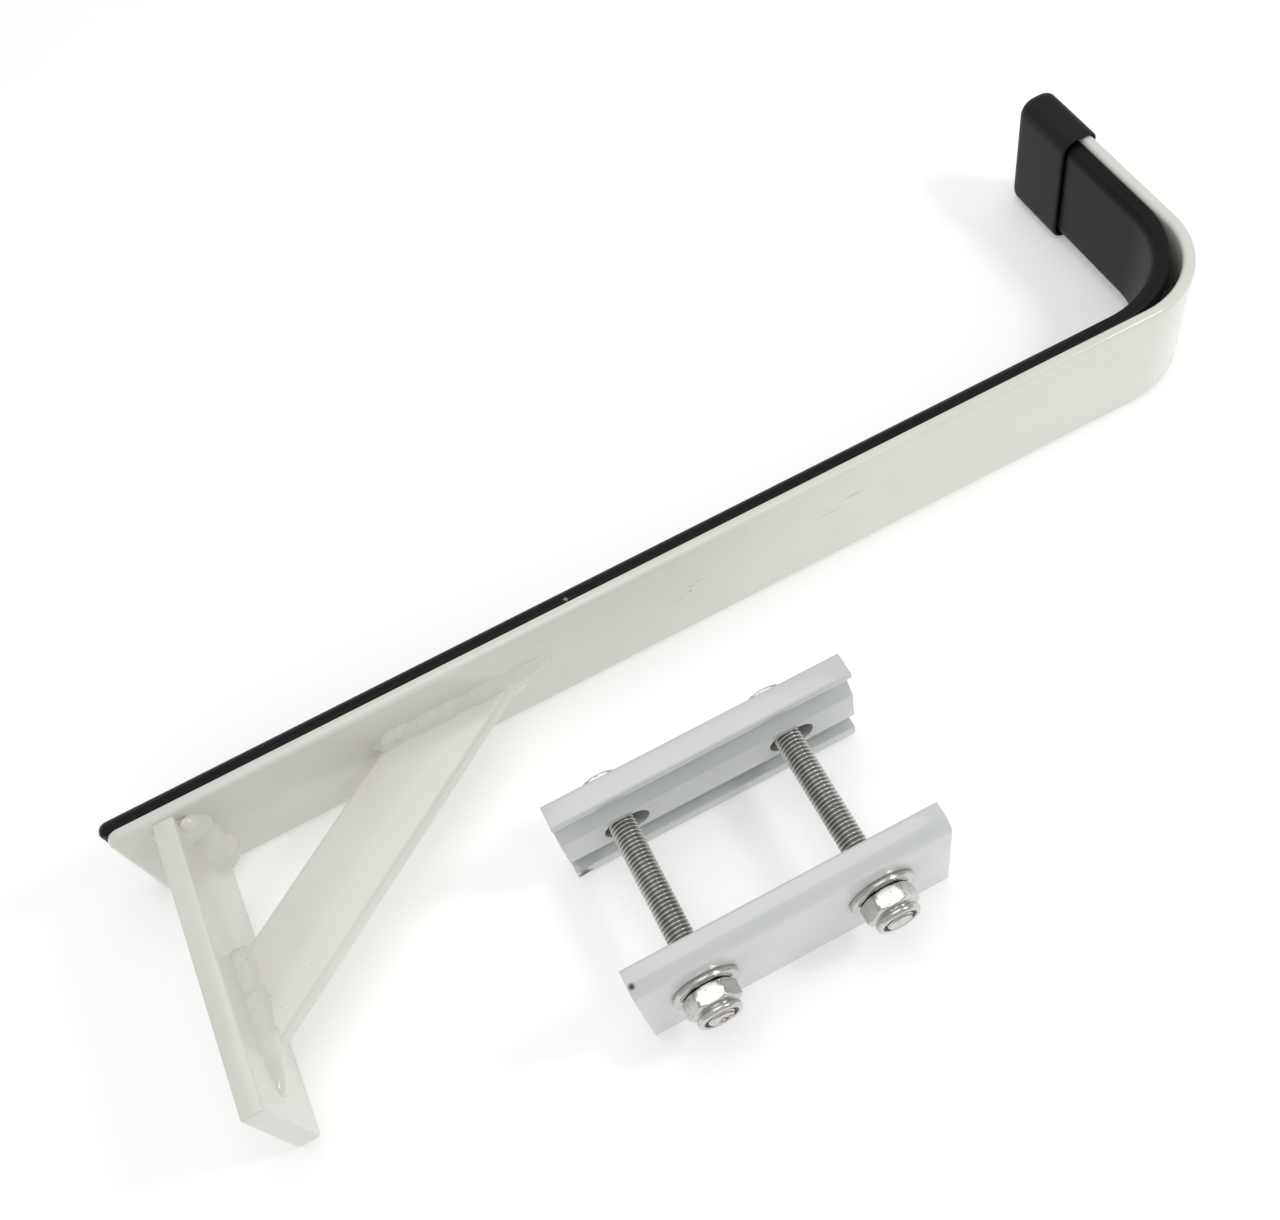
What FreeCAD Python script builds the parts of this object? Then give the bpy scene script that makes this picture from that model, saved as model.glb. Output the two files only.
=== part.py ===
import FreeCAD, Part
import math
import os
import Sketcher

# Wall-hook ladder stabilizer: a welded hook arm with a rubber strip and a push-on tip cap,
# and the loose two-bolt clamp that holds the arm's foot bar to a ladder stile.
# The arm lies on its side. X runs along the long bar to the hook, Y points the way the
# hook leg does, Z is up and zero is the surface that everything stands on.

sizes = {
    # hook arm
    "bar_length": 461.0, "bar_thickness": 5.0, "bar_width": 50.0, "bar_lift": 2.0,
    "hook_reach": 122.0, "bend_radius": 38.0, "bend_inner_radius": 33.0,
    "bar_edge_radius": 1.9, "bar_end_radius": 5.0,
    "foot_length": 110.0, "foot_thickness": 8.0, "foot_width": 50.0, "foot_inset": 16.2,
    "foot_edge_radius": 0.8,
    "brace_near_x": 74.7, "brace_near_y": 50.8, "brace_bar_contact": 53.4,
    "brace_foot_contact": 36.3, "brace_thickness": 8.0, "brace_base": 21.0,
    "brace_edge_radius": 1.5,
    # weld beads
    "bead_radius": 5.0, "foot_bead_base": 4.5, "foot_bead_length": 44.0,
    "bar_bead_start": 3.0, "bar_bead_length": 68.0,
    "brace_foot_bead_start": 46.0, "brace_foot_bead_length": 55.0,
    # rubber strip and tip cap
    "strip_thickness": 7.0, "strip_width": 47.0, "strip_margin": 1.5,
    "strip_overhang": 2.5, "strip_bend_radius": 44.0, "strip_bend_inner_radius": 37.0,
    "strip_edge_radius": 2.0, "strip_end_radius": 3.0, "strip_short": 0.5,
    "cap_length": 34.0, "cap_end": 4.0, "cap_clearance": 0.3, "cap_wall": 1.7,
    "cap_corner_radius": 5.0, "cap_bore_radius": 1.8,
    # clamp plates
    "clamp_x": 139.4, "clamp_y": 71.2, "jaw_gap": 52.4,
    "plate_length": 113.0, "plate_height": 50.0, "plate_thickness": 9.7,
    "groove_depth": 4.0, "lower_lip": 8.5, "groove_top": 14.8, "plateau_low": 18.2, "plateau_high": 34.0,
    "cove_top": 39.3, "upper_lip": 46.5, "plate_round": 5.5, "plate_small_round": 1.5,
    "lip_round": 3.8, "lip_small_round": 1.2, "cove_round": 3.0,
    "slot_height": 11.0, "slot_straight": 6.0, "slot_left": 23.7, "slot_right": 88.2,
    # fasteners
    "bolt_left": 22.0, "bolt_right": 87.0, "bolt_height": 25.9, "bolt_radius": 4.95,
    "bolt_tip": 0.3, "tip_chamfer": 0.8, "head_height": 6.4, "hex_corner_radius": 9.8,
    "washer_radius": 12.0, "washer_bore": 5.25, "washer_thickness": 2.0,
    "nut_bore": 5.0, "nut_hex_height": 7.0, "nut_height": 10.0,
    "collar_radius": 8.2, "collar_top_radius": 7.3,
    "ring_radius": 6.4, "ring_thickness": 2.2, "ring_recess": 0.3,
}

doc = FreeCAD.newDocument("LadderStabilizer")
sheet = doc.addObject("Spreadsheet::Sheet", "Sizes")
for row, (alias, value) in enumerate(sizes.items(), start=1):
    sheet.set("A%d" % row, alias)
    sheet.set("B%d" % row, str(value))
    sheet.setAlias("B%d" % row, alias)
doc.recompute()

parts = []


def read_terms(text):
    """Split 'bar_length - 0.5*cap_wall' into (sign and factor, alias) pairs."""
    terms, sign = [], 1.0
    for word in text.split():
        if word in ("+", "-"):
            sign = -1.0 if word == "-" else 1.0
            continue
        factor, star, alias = word.rpartition("*")
        terms.append((sign * float(factor) if star else sign, alias))
    return terms


def amount(text):
    """The number that a sum of sheet sizes comes to."""
    return sum(factor * sizes[alias] for factor, alias in read_terms(text))


def bound(text):
    """The same sum written as a sheet expression."""
    return " + ".join("%g * Sizes.%s" % term for term in read_terms(text))


# the origin is under the middle of the whole part's box
MIDDLE_X = "0.5*bar_length + 0.5*bar_lift - 0.5*strip_overhang"
MIDDLE_Y = ("0.5*hook_reach + 0.5*cap_end - 0.5*clamp_y - 0.5*jaw_gap - 0.5*plate_thickness"
            " - 0.5*washer_thickness - 0.5*nut_height - 0.5*bolt_tip")


def bind(item, **texts):
    for name, text in texts.items():
        item.setExpression(name, bound(text))


def place(item, x, y, z, rotation=None):
    """Put an item at x, y, z of the arm, measured from the bar's outer left corner."""
    item.Placement = FreeCAD.Placement(FreeCAD.Vector(), rotation or FreeCAD.Rotation())
    item.setExpression("Placement.Base.x", "(%s) - (%s)" % (bound(x), bound(MIDDLE_X)))
    item.setExpression("Placement.Base.y", "(%s) - (%s)" % (bound(y), bound(MIDDLE_Y)))
    item.setExpression("Placement.Base.z", bound(z))


def axes(x_axis, y_axis, z_axis):
    """The rotation that turns an item's own axes to these three directions."""
    return FreeCAD.Rotation(FreeCAD.Vector(*x_axis), FreeCAD.Vector(*y_axis),
                            FreeCAD.Vector(*z_axis), "XYZ")


ALONG_BOLT = axes((1, 0, 0), (0, 0, 1), (0, -1, 0))


def keep(item, label):
    item.Label = label
    parts.append(item)
    return item


def new_body(label):
    return keep(doc.addObject("PartDesign::Body", "Body_" + label), label)


def new_sketch(body, role, name):
    sketch = body.newObject("Sketcher::SketchObject", name)
    plane = [item for item in body.Origin.OriginFeatures if item.Role == role][0]
    sketch.AttachmentSupport = [(plane, "")]
    sketch.MapMode = "FlatFace"
    return sketch


def add_distance(sketch, kind, first, second, text):
    """Bind the gap from one sketch point to another, which may run backwards."""
    value = amount(text)
    if value < 0:
        first, second = second, first
    index = sketch.addConstraint(Sketcher.Constraint(kind, *first, *second, abs(value)))
    sketch.setExpression("Constraints[%d]" % index, "abs(%s)" % bound(text))


def draw_outline(sketch, steps):
    """A closed outline of straight steps (dx, dy) from the sketch's own origin."""
    corners = [FreeCAD.Vector()]
    for dx, dy in steps:
        corners.append(corners[-1] + FreeCAD.Vector(amount(dx), amount(dy)))
    first = sketch.GeometryCount
    count = len(steps) + 1
    for index in range(count):
        end = corners[(index + 1) % count]
        sketch.addGeometry(Part.LineSegment(corners[index], end))
    for index in range(count):
        nxt = first + (index + 1) % count
        sketch.addConstraint(Sketcher.Constraint("Coincident", first + index, 2, nxt, 1))
    sketch.addConstraint(Sketcher.Constraint("Coincident", first, 1, -1, 1))
    for index, (dx, dy) in enumerate(steps):
        line = first + index
        if dx:
            add_distance(sketch, "DistanceX", (line, 1), (line, 2), dx)
        else:
            sketch.addConstraint(Sketcher.Constraint("Vertical", line))
        if dy:
            add_distance(sketch, "DistanceY", (line, 1), (line, 2), dy)
        else:
            sketch.addConstraint(Sketcher.Constraint("Horizontal", line))


def pad(body, sketch, length):
    feature = body.newObject("PartDesign::Pad", sketch.Name + "_Pad")
    feature.Profile = sketch
    bind(feature, Length=length)
    sketch.Visibility = False
    doc.recompute()
    return feature


def cut_through(body, sketch):
    """Pocket a sketch right through the body, both ways, and make sure it cut."""
    before = body.Shape.Volume
    feature = body.newObject("PartDesign::Pocket", sketch.Name + "_Pocket")
    feature.Profile = sketch
    feature.SideType = "Symmetric"
    feature.Type = "ThroughAll"
    doc.recompute()
    if before - body.Shape.Volume < 1.0:
        raise RuntimeError(feature.Name + " cuts nothing")


def fillet(body, radius, chosen):
    """Round the edges of the body's tip that the test picks, by their bounding box."""
    base = body.Tip
    edges = ["Edge%d" % number for number, edge in enumerate(base.Shape.Edges, start=1)
             if chosen(edge.BoundBox, edge)]
    if not edges:
        raise RuntimeError("no edge to round on " + body.Label)
    feature = body.newObject("PartDesign::Fillet", "Fillet_%s" % body.Label)
    feature.Base = (base, edges)
    bind(feature, Radius=radius)
    doc.recompute()


def near(value, text):
    return abs(value - amount(text)) < 0.01


def flat_in_z(box):
    return box.ZLength < 0.01


# ---- hook bar: one flat bar bent to an L, edges rounded as rolled

def make_hook_bar():
    body = new_body("hook_bar")
    sketch = new_sketch(body, "XY_Plane", "HookBarOutline")
    draw_outline(sketch, [
        ("bar_length", ""),
        ("", "hook_reach"),
        ("- bar_thickness", ""),
        ("", "bar_thickness - hook_reach"),
        ("bar_thickness - bar_length", ""),
    ])
    pad(body, sketch, "bar_width")
    fillet(body, "bend_radius", lambda box, edge: box.ZLength > 1
           and near(box.XMin, "bar_length") and near(box.YMax, "0*bar_length"))
    fillet(body, "bend_inner_radius", lambda box, edge: box.ZLength > 1
           and near(box.XMin, "bar_length - bar_thickness")
           and near(box.YMax, "bar_thickness"))
    fillet(body, "bar_end_radius", lambda box, edge: flat_in_z(box)
           and box.XMax < 0.01 and box.YLength > 1)
    fillet(body, "bar_edge_radius", lambda box, edge: not near(box.YMin, "hook_reach")
           and not (box.ZLength > 45 and box.XMin > 1)
           and not (box.XMax < 10 and box.YLength > 4.9))
    place(body, "0*bar_length", "0*bar_length", "bar_lift")


def make_foot_bar():
    block = doc.addObject("Part::Box", "FootBlock")
    bind(block, Length="foot_thickness", Width="foot_length", Height="foot_width")
    doc.recompute()
    rounded = doc.addObject("Part::Fillet", "FootRounded")
    rounded.Base = block
    radius = amount("foot_edge_radius")
    rounded.Edges = [(number, radius, radius)
                     for number, edge in enumerate(block.Shape.Edges, start=1)
                     if not near(edge.BoundBox.YMin, "foot_length")]
    place(rounded, "foot_inset", "- foot_length", "0*bar_lift")
    keep(rounded, "foot_bar")


def make_brace_bar():
    body = new_body("brace_bar")
    sketch = new_sketch(body, "XY_Plane", "BraceOutline")
    draw_outline(sketch, [
        ("brace_bar_contact", ""),
        ("- brace_near_x - brace_bar_contact", "- brace_near_y - brace_foot_contact"),
        ("", "brace_foot_contact"),
    ])
    pad(body, sketch, "brace_thickness")
    fillet(body, "brace_edge_radius", lambda box, edge: flat_in_z(box)
           and box.XLength > 10 and box.YLength > 10)
    place(body, "foot_inset + foot_thickness + brace_near_x", "0*bar_length", "brace_base")


# ---- weld beads: quarter-round fillets lying in the corners

def make_bead(label, length, x, y, z, rotation):
    bead = doc.addObject("Part::Cylinder", "Bead_" + label)
    bind(bead, Radius="bead_radius", Height=length)
    bead.Angle = 90
    place(bead, x, y, z, rotation)
    keep(bead, label)


def make_beads():
    foot_face = "foot_inset + foot_thickness"
    make_bead("weld_foot_inner", "foot_bead_length", foot_face, "0*bar_length",
              "foot_bead_base", axes((0, -1, 0), (1, 0, 0), (0, 0, 1)))
    make_bead("weld_foot_outer", "foot_bead_length", "foot_inset", "0*bar_length",
              "foot_bead_base", axes((-1, 0, 0), (0, -1, 0), (0, 0, 1)))
    bar_end = foot_face + " + brace_near_x - bar_bead_start + bar_bead_length"
    top = "brace_base + brace_thickness"
    make_bead("weld_brace_bar_upper", "bar_bead_length", bar_end, "0*bar_length", top,
              axes((0, -1, 0), (0, 0, 1), (-1, 0, 0)))
    make_bead("weld_brace_bar_lower", "bar_bead_length", bar_end, "0*bar_length",
              "brace_base", axes((0, 0, -1), (0, -1, 0), (-1, 0, 0)))
    make_bead("weld_brace_foot_upper", "brace_foot_bead_length", foot_face,
              "- brace_foot_bead_start", top, axes((1, 0, 0), (0, 0, 1), (0, -1, 0)))
    make_bead("weld_brace_foot_lower", "brace_foot_bead_length", foot_face,
              "- brace_foot_bead_start", "brace_base",
              axes((0, 0, -1), (1, 0, 0), (0, -1, 0)))


# ---- rubber strip: follows the bar's inner face and cuts the corner inside the bend

def make_pad_strip():
    body = new_body("pad_strip")
    sketch = new_sketch(body, "XY_Plane", "StripOutline")
    draw_outline(sketch, [
        ("strip_overhang + bar_length - bar_thickness", ""),
        ("", "hook_reach - strip_short - bar_thickness"),
        ("- strip_thickness", ""),
        ("", "strip_thickness + strip_short + bar_thickness - hook_reach"),
        ("strip_thickness + bar_thickness - strip_overhang - bar_length", ""),
    ])
    pad(body, sketch, "strip_width")
    outer = "strip_overhang + bar_length - bar_thickness"
    fillet(body, "strip_bend_radius", lambda box, edge: box.ZLength > 1
           and near(box.XMin, outer) and box.YMax < 0.01)
    fillet(body, "strip_bend_inner_radius", lambda box, edge: box.ZLength > 1
           and near(box.XMin, outer + " - strip_thickness")
           and near(box.YMax, "strip_thickness"))
    fillet(body, "strip_end_radius", lambda box, edge: flat_in_z(box)
           and box.XMax < 0.01 and box.YLength > 1)
    fillet(body, "strip_edge_radius", lambda box, edge: box.YMin < 110
           and not (box.ZLength > 42 and box.XMin > 1)
           and not (box.XMax < 10 and box.YLength > 6.9))
    place(body, "- strip_overhang", "bar_thickness", "bar_lift + strip_margin")


def make_tip_cap():
    outside = doc.addObject("Part::Box", "CapBlock")
    bind(outside, Length="strip_thickness + bar_thickness + 2*cap_clearance + 2*cap_wall",
         Width="cap_length", Height="bar_width + 2*cap_clearance + 2*cap_wall")
    inside = doc.addObject("Part::Box", "CapBore")
    bind(inside, Length="strip_thickness + bar_thickness + 2*cap_clearance",
         Width="cap_length - cap_end + cap_clearance",
         Height="bar_width + 2*cap_clearance")
    doc.recompute()
    shell = doc.addObject("Part::Fillet", "CapShell")
    shell.Base = outside
    radius = amount("cap_corner_radius")
    shell.Edges = [(number, radius, radius)
                   for number, edge in enumerate(outside.Shape.Edges, start=1)
                   if edge.BoundBox.YMax > 1]
    bore = doc.addObject("Part::Fillet", "CapBoreRounded")
    bore.Base = inside
    radius = amount("cap_bore_radius")
    bore.Edges = [(number, radius, radius)
                  for number, edge in enumerate(inside.Shape.Edges, start=1)
                  if edge.BoundBox.YLength > 1]
    for name in ("x", "z"):
        bore.setExpression("Placement.Base." + name, bound("cap_wall"))
    cap = doc.addObject("Part::Cut", "CapCut")
    cap.Base = shell
    cap.Tool = bore
    place(cap, "bar_length - bar_thickness - strip_thickness - cap_clearance - cap_wall",
          "hook_reach + cap_end - cap_length", "bar_lift - cap_clearance - cap_wall")
    keep(cap, "tip_cap")


# ---- clamp plates: one extruded section, mirrored, with two slots

def make_plate(label, inward, outer_top, outer_low, x, y):
    """A plate whose plateau face is its own y = 0 and whose outer face lies away
    from the other plate. inward is +1 when the other plate is on the -Y side."""
    body = new_body(label)
    out = "" if inward > 0 else "- "
    back = "- " if inward > 0 else ""
    section = new_sketch(body, "YZ_Plane", "Section_" + label)
    draw_outline(section, [
        ("", "lower_lip"),
        (out + "groove_depth", ""),
        ("", "groove_top - lower_lip"),
        (back + "groove_depth", "plateau_low - groove_top"),
        ("", "plateau_high - plateau_low"),
        (out + "groove_depth", "cove_top - plateau_high"),
        ("", "upper_lip - cove_top"),
        (back + "groove_depth", ""),
        ("", "plate_height - upper_lip"),
        (out + "plate_thickness", ""),
        ("", "- plate_height"),
    ])
    pad(body, section, "plate_length")
    outer = inward * amount("plate_thickness")

    def along_plate(y_value, z_value):
        return lambda box, edge: (box.XLength > 100 and abs(box.YMin - y_value) < 0.01
                                  and abs(box.ZMin - z_value) < 0.01)

    groove = inward * amount("groove_depth")
    fillet(body, outer_top, along_plate(outer, sizes["plate_height"]))
    fillet(body, outer_low, along_plate(outer, 0.0))
    fillet(body, "lip_round", along_plate(0.0, 0.0))
    fillet(body, "lip_small_round", along_plate(0.0, sizes["plate_height"]))
    fillet(body, "lip_small_round", along_plate(0.0, sizes["upper_lip"]))
    fillet(body, "cove_round", along_plate(groove, sizes["cove_top"]))
    slots = new_sketch(body, "XZ_Plane", "Slots_" + label)
    draw_slots(slots)
    cut_through(body, slots)
    place(body, x, y, "0*bar_lift")


def draw_slots(sketch):
    """Two slots along the plate, each two half circles joined by straight sides."""
    radius = 0.5 * sizes["slot_height"]
    up = FreeCAD.Vector(0, radius)
    for slot in ("slot_left", "slot_right"):
        arcs, middles = [], []
        for side, turn in (("+", -0.5 * math.pi), ("-", 0.5 * math.pi)):
            across = "%s %s 0.5*slot_straight" % (slot, side)
            middle = FreeCAD.Vector(amount(across), sizes["bolt_height"])
            circle = Part.Circle(middle, FreeCAD.Vector(0, 0, 1), radius)
            arc = sketch.addGeometry(Part.ArcOfCircle(circle, turn, turn + math.pi))
            index = sketch.addConstraint(Sketcher.Constraint("Radius", arc, radius))
            sketch.setExpression("Constraints[%d]" % index, bound("0.5*slot_height"))
            add_distance(sketch, "DistanceX", (-1, 1), (arc, 3), across)
            add_distance(sketch, "DistanceY", (-1, 1), (arc, 3), "bolt_height")
            arcs.append(arc)
            middles.append(middle)
        right, left = arcs
        top = sketch.addGeometry(Part.LineSegment(middles[0] + up, middles[1] + up))
        low = sketch.addGeometry(Part.LineSegment(middles[1] - up, middles[0] - up))
        for arc, line in ((right, top), (left, low)):
            sketch.addConstraint(Sketcher.Constraint("Tangent", arc, 2, line, 1))
        for line, arc in ((top, left), (low, right)):
            sketch.addConstraint(Sketcher.Constraint("Tangent", line, 2, arc, 1))


# ---- fasteners: every one points its own +Z along the bolt, out of the front plate

def cylinder(name, radius, height, lift=""):
    item = doc.addObject("Part::Cylinder", name)
    bind(item, Radius=radius, Height=height)
    if lift:
        item.setExpression("Placement.Base.z", bound(lift))
    return item


def hexagon(name, height):
    item = doc.addObject("Part::Prism", name)
    item.Polygon = 6
    bind(item, Circumradius="hex_corner_radius", Height=height)
    return item


def join(kind, name, base, tool):
    item = doc.addObject("Part::" + kind, name)
    item.Base = base
    item.Tool = tool
    return item


def make_washer(label, x, y):
    disc = cylinder("Disc_" + label, "washer_radius", "washer_thickness")
    hole = cylinder("Hole_" + label, "washer_bore", "washer_thickness")
    washer = join("Cut", "Washer_" + label, disc, hole)
    place(washer, x, y, "bolt_height", ALONG_BOLT)
    keep(washer, label)


def make_bolt(label, x, y):
    head = hexagon("Head_" + label, "head_height")
    grip = ("2*washer_thickness + 2*plate_thickness + jaw_gap + nut_height + bolt_tip"
            " - tip_chamfer")
    shank = cylinder("Shank_" + label, "bolt_radius", grip, "head_height")
    tip = doc.addObject("Part::Cone", "Tip_" + label)
    bind(tip, Radius1="bolt_radius", Radius2="bolt_radius - tip_chamfer",
         Height="tip_chamfer")
    tip.setExpression("Placement.Base.z", bound("head_height + " + grip))
    rod = join("Fuse", "Rod_" + label, shank, tip)
    bolt = join("Fuse", "Bolt_" + label, head, rod)
    place(bolt, x, y, "bolt_height", ALONG_BOLT)
    keep(bolt, label)


def make_nut(label, x, y):
    blank = hexagon("Blank_" + label, "nut_hex_height")
    collar = doc.addObject("Part::Cone", "Collar_" + label)
    bind(collar, Radius1="collar_radius", Radius2="collar_top_radius",
         Height="nut_height - nut_hex_height")
    collar.setExpression("Placement.Base.z", bound("nut_hex_height"))
    solid = join("Fuse", "Solid_" + label, blank, collar)
    thread = cylinder("Thread_" + label, "nut_bore", "nut_height")
    seat = cylinder("Seat_" + label, "ring_radius", "ring_thickness + ring_recess",
                    "nut_height - ring_thickness - ring_recess")
    bored = join("Cut", "Bored_" + label, solid, thread)
    nut = join("Cut", "Nut_" + label, bored, seat)
    place(nut, x, y, "bolt_height", ALONG_BOLT)
    keep(nut, label)


def make_ring(label, x, y):
    disc = cylinder("RingDisc_" + label, "ring_radius", "ring_thickness")
    hole = cylinder("RingHole_" + label, "nut_bore", "ring_thickness")
    ring = join("Cut", "Ring_" + label, disc, hole)
    place(ring, x, y, "bolt_height", ALONG_BOLT)
    keep(ring, label)


def make_fasteners():
    back = "- clamp_y + plate_thickness"
    front = "- clamp_y - jaw_gap - plate_thickness"
    for side in ("left", "right"):
        x = "clamp_x + bolt_" + side
        make_bolt("bolt_" + side, x, back + " + washer_thickness + head_height")
        make_washer("head_washer_" + side, x, back + " + washer_thickness")
        make_washer("nut_washer_" + side, x, front)
        nut_face = front + " - washer_thickness"
        make_nut("nut_" + side, x, nut_face)
        make_ring("nylon_ring_" + side, x,
                  nut_face + " - nut_height + ring_thickness + ring_recess")


make_hook_bar()
make_foot_bar()
make_brace_bar()
make_beads()
make_pad_strip()
make_tip_cap()
make_plate("back_plate", 1, "plate_small_round", "plate_round", "clamp_x", "- clamp_y")
make_plate("front_plate", -1, "plate_round", "plate_small_round", "clamp_x",
           "- clamp_y - jaw_gap")
make_fasteners()
doc.recompute()

for item in doc.Objects:
    if any(state in ("Invalid", "Error") for state in item.State):
        raise RuntimeError("%s is %s" % (item.Label, item.State))
for item in parts:
    if item.Shape.isNull() or not item.Shape.isValid() or len(item.Shape.Solids) != 1:
        raise RuntimeError(item.Label + " has no sound solid")

os.makedirs("parts", exist_ok=True)
for item in parts:
    item.Shape.exportStep("parts/%s.step" % item.Label)
    box = item.Shape.BoundBox
    print("%-24s %9.0f mm3  x %7.1f %7.1f  y %7.1f %7.1f  z %5.1f %5.1f"
          % (item.Label, item.Shape.Volume, box.XMin, box.XMax, box.YMin, box.YMax,
             box.ZMin, box.ZMax))
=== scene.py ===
import math

import bpy
import numpy as np
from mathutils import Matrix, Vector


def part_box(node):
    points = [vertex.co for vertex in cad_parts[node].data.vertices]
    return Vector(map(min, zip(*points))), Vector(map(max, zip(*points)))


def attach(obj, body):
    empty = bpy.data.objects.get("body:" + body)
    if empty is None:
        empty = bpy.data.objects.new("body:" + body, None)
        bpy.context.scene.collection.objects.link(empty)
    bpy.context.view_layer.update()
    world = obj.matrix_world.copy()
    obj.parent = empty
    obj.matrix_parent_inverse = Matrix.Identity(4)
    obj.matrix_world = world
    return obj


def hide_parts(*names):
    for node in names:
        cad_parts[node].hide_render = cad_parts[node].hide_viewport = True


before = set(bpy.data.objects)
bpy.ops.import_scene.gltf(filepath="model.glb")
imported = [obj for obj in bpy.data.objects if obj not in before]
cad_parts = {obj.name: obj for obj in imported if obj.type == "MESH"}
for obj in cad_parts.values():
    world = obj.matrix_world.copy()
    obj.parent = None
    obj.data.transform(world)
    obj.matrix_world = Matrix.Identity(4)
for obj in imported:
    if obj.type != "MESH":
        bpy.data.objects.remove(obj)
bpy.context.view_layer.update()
mm = 0.001


# mesh helpers: every new piece starts as a stack of closed rings

def ringFaces(rings, around, closeEnds):
    # quads between ring k and k + 1; with closeEnds false the last ring joins the first
    k = np.arange(rings - 1 if closeEnds else rings)[:, None]
    j = np.arange(around)[None, :]
    nextRing = (k + 1) % rings
    nextPoint = (j + 1) % around
    quads = np.stack([k * around + j, k * around + nextPoint,
                      nextRing * around + nextPoint, nextRing * around + j], axis=-1)
    return quads.reshape(-1, 4)


def shellFaces(rings, closeEnds, flip, offset=0):
    # the quads and, with closeEnds, a flat cap on each end ring; flip turns every face round
    count, around = rings.shape[:2]
    quads = ringFaces(count, around, closeEnds)
    caps = np.stack([np.arange(around)[::-1], np.arange((count - 1) * around, count * around)])
    if not closeEnds:
        caps = caps[:0]
    turn = -1 if flip else 1
    return (quads[:, ::turn] + offset).tolist() + (caps[:, ::turn] + offset).tolist()


def finishMesh(name, corners, faces, material, sharpAngle):
    mesh = bpy.data.meshes.new(name)
    mesh.from_pydata(corners.tolist(), [], faces)
    mesh.validate()
    mesh.shade_smooth()
    mesh.set_sharp_from_angle(angle=math.radians(sharpAngle))
    mesh.materials.append(material)
    piece = bpy.data.objects.new(name, mesh)
    bpy.context.scene.collection.objects.link(piece)
    return piece


def buildPiece(name, rings, material, closeEnds=True, sharpAngle=40.0, flip=False):
    # rings is (count, around, 3) in metres
    return finishMesh(name, rings.reshape(-1, 3), shellFaces(rings, closeEnds, flip), material,
                      sharpAngle)


def settle(piece, body, slot, *nodes):
    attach(piece, body)
    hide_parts(*nodes)
    return piece


def roundedSection(halfA, halfB, radiusPlus, radiusMinus, steps=7):
    # a rectangle with round corners, anticlockwise; the two sides of a have their own radius
    corners = [(halfA, halfB, radiusPlus, 0.0), (-halfA, halfB, radiusMinus, 0.5 * math.pi),
               (-halfA, -halfB, radiusMinus, math.pi), (halfA, -halfB, radiusPlus, 1.5 * math.pi)]
    runs = []
    for a, b, radius, start in corners:
        turn = start + np.linspace(0, 0.5 * math.pi, steps)
        centreA = a - math.copysign(radius, a)
        centreB = b - math.copysign(radius, b)
        runs.append(np.stack([centreA + radius * np.cos(turn),
                              centreB + radius * np.sin(turn)], axis=1))
    return np.concatenate(runs)


def endShrink(distance, radius):
    # how far a quarter-round edge of that radius pulls in at that distance from the end
    inside = np.clip((radius - distance) / radius, 0, 1)
    return radius * (1 - np.sqrt(1 - inside ** 2))


def bentPath(left, faceY, right, tip, radius, ends, arcSteps=28):
    # straight along X, a quarter turn, straight along Y; gives places and left-hand normals
    arc = np.linspace(0, 0.5 * math.pi, arcSteps)
    alongX = left + np.concatenate([ends, np.linspace(12 * mm, right - radius - left, 40)])
    alongY = np.linspace(faceY + radius, tip, 14)[1:]
    x = np.concatenate([alongX, right - radius + radius * np.sin(arc[1:]),
                        np.full(len(alongY), right)])
    y = np.concatenate([np.full(len(alongX), faceY), faceY + radius - radius * np.cos(arc[1:]),
                        alongY])
    turn = np.concatenate([np.zeros(len(alongX)), arc[1:], np.full(len(alongY), arc[-1])])
    normal = np.stack([-np.sin(turn), np.cos(turn), np.zeros(len(turn))], axis=1)
    return np.stack([x, y, np.zeros(len(x))], axis=1), normal


# shader maths as plain sums

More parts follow.
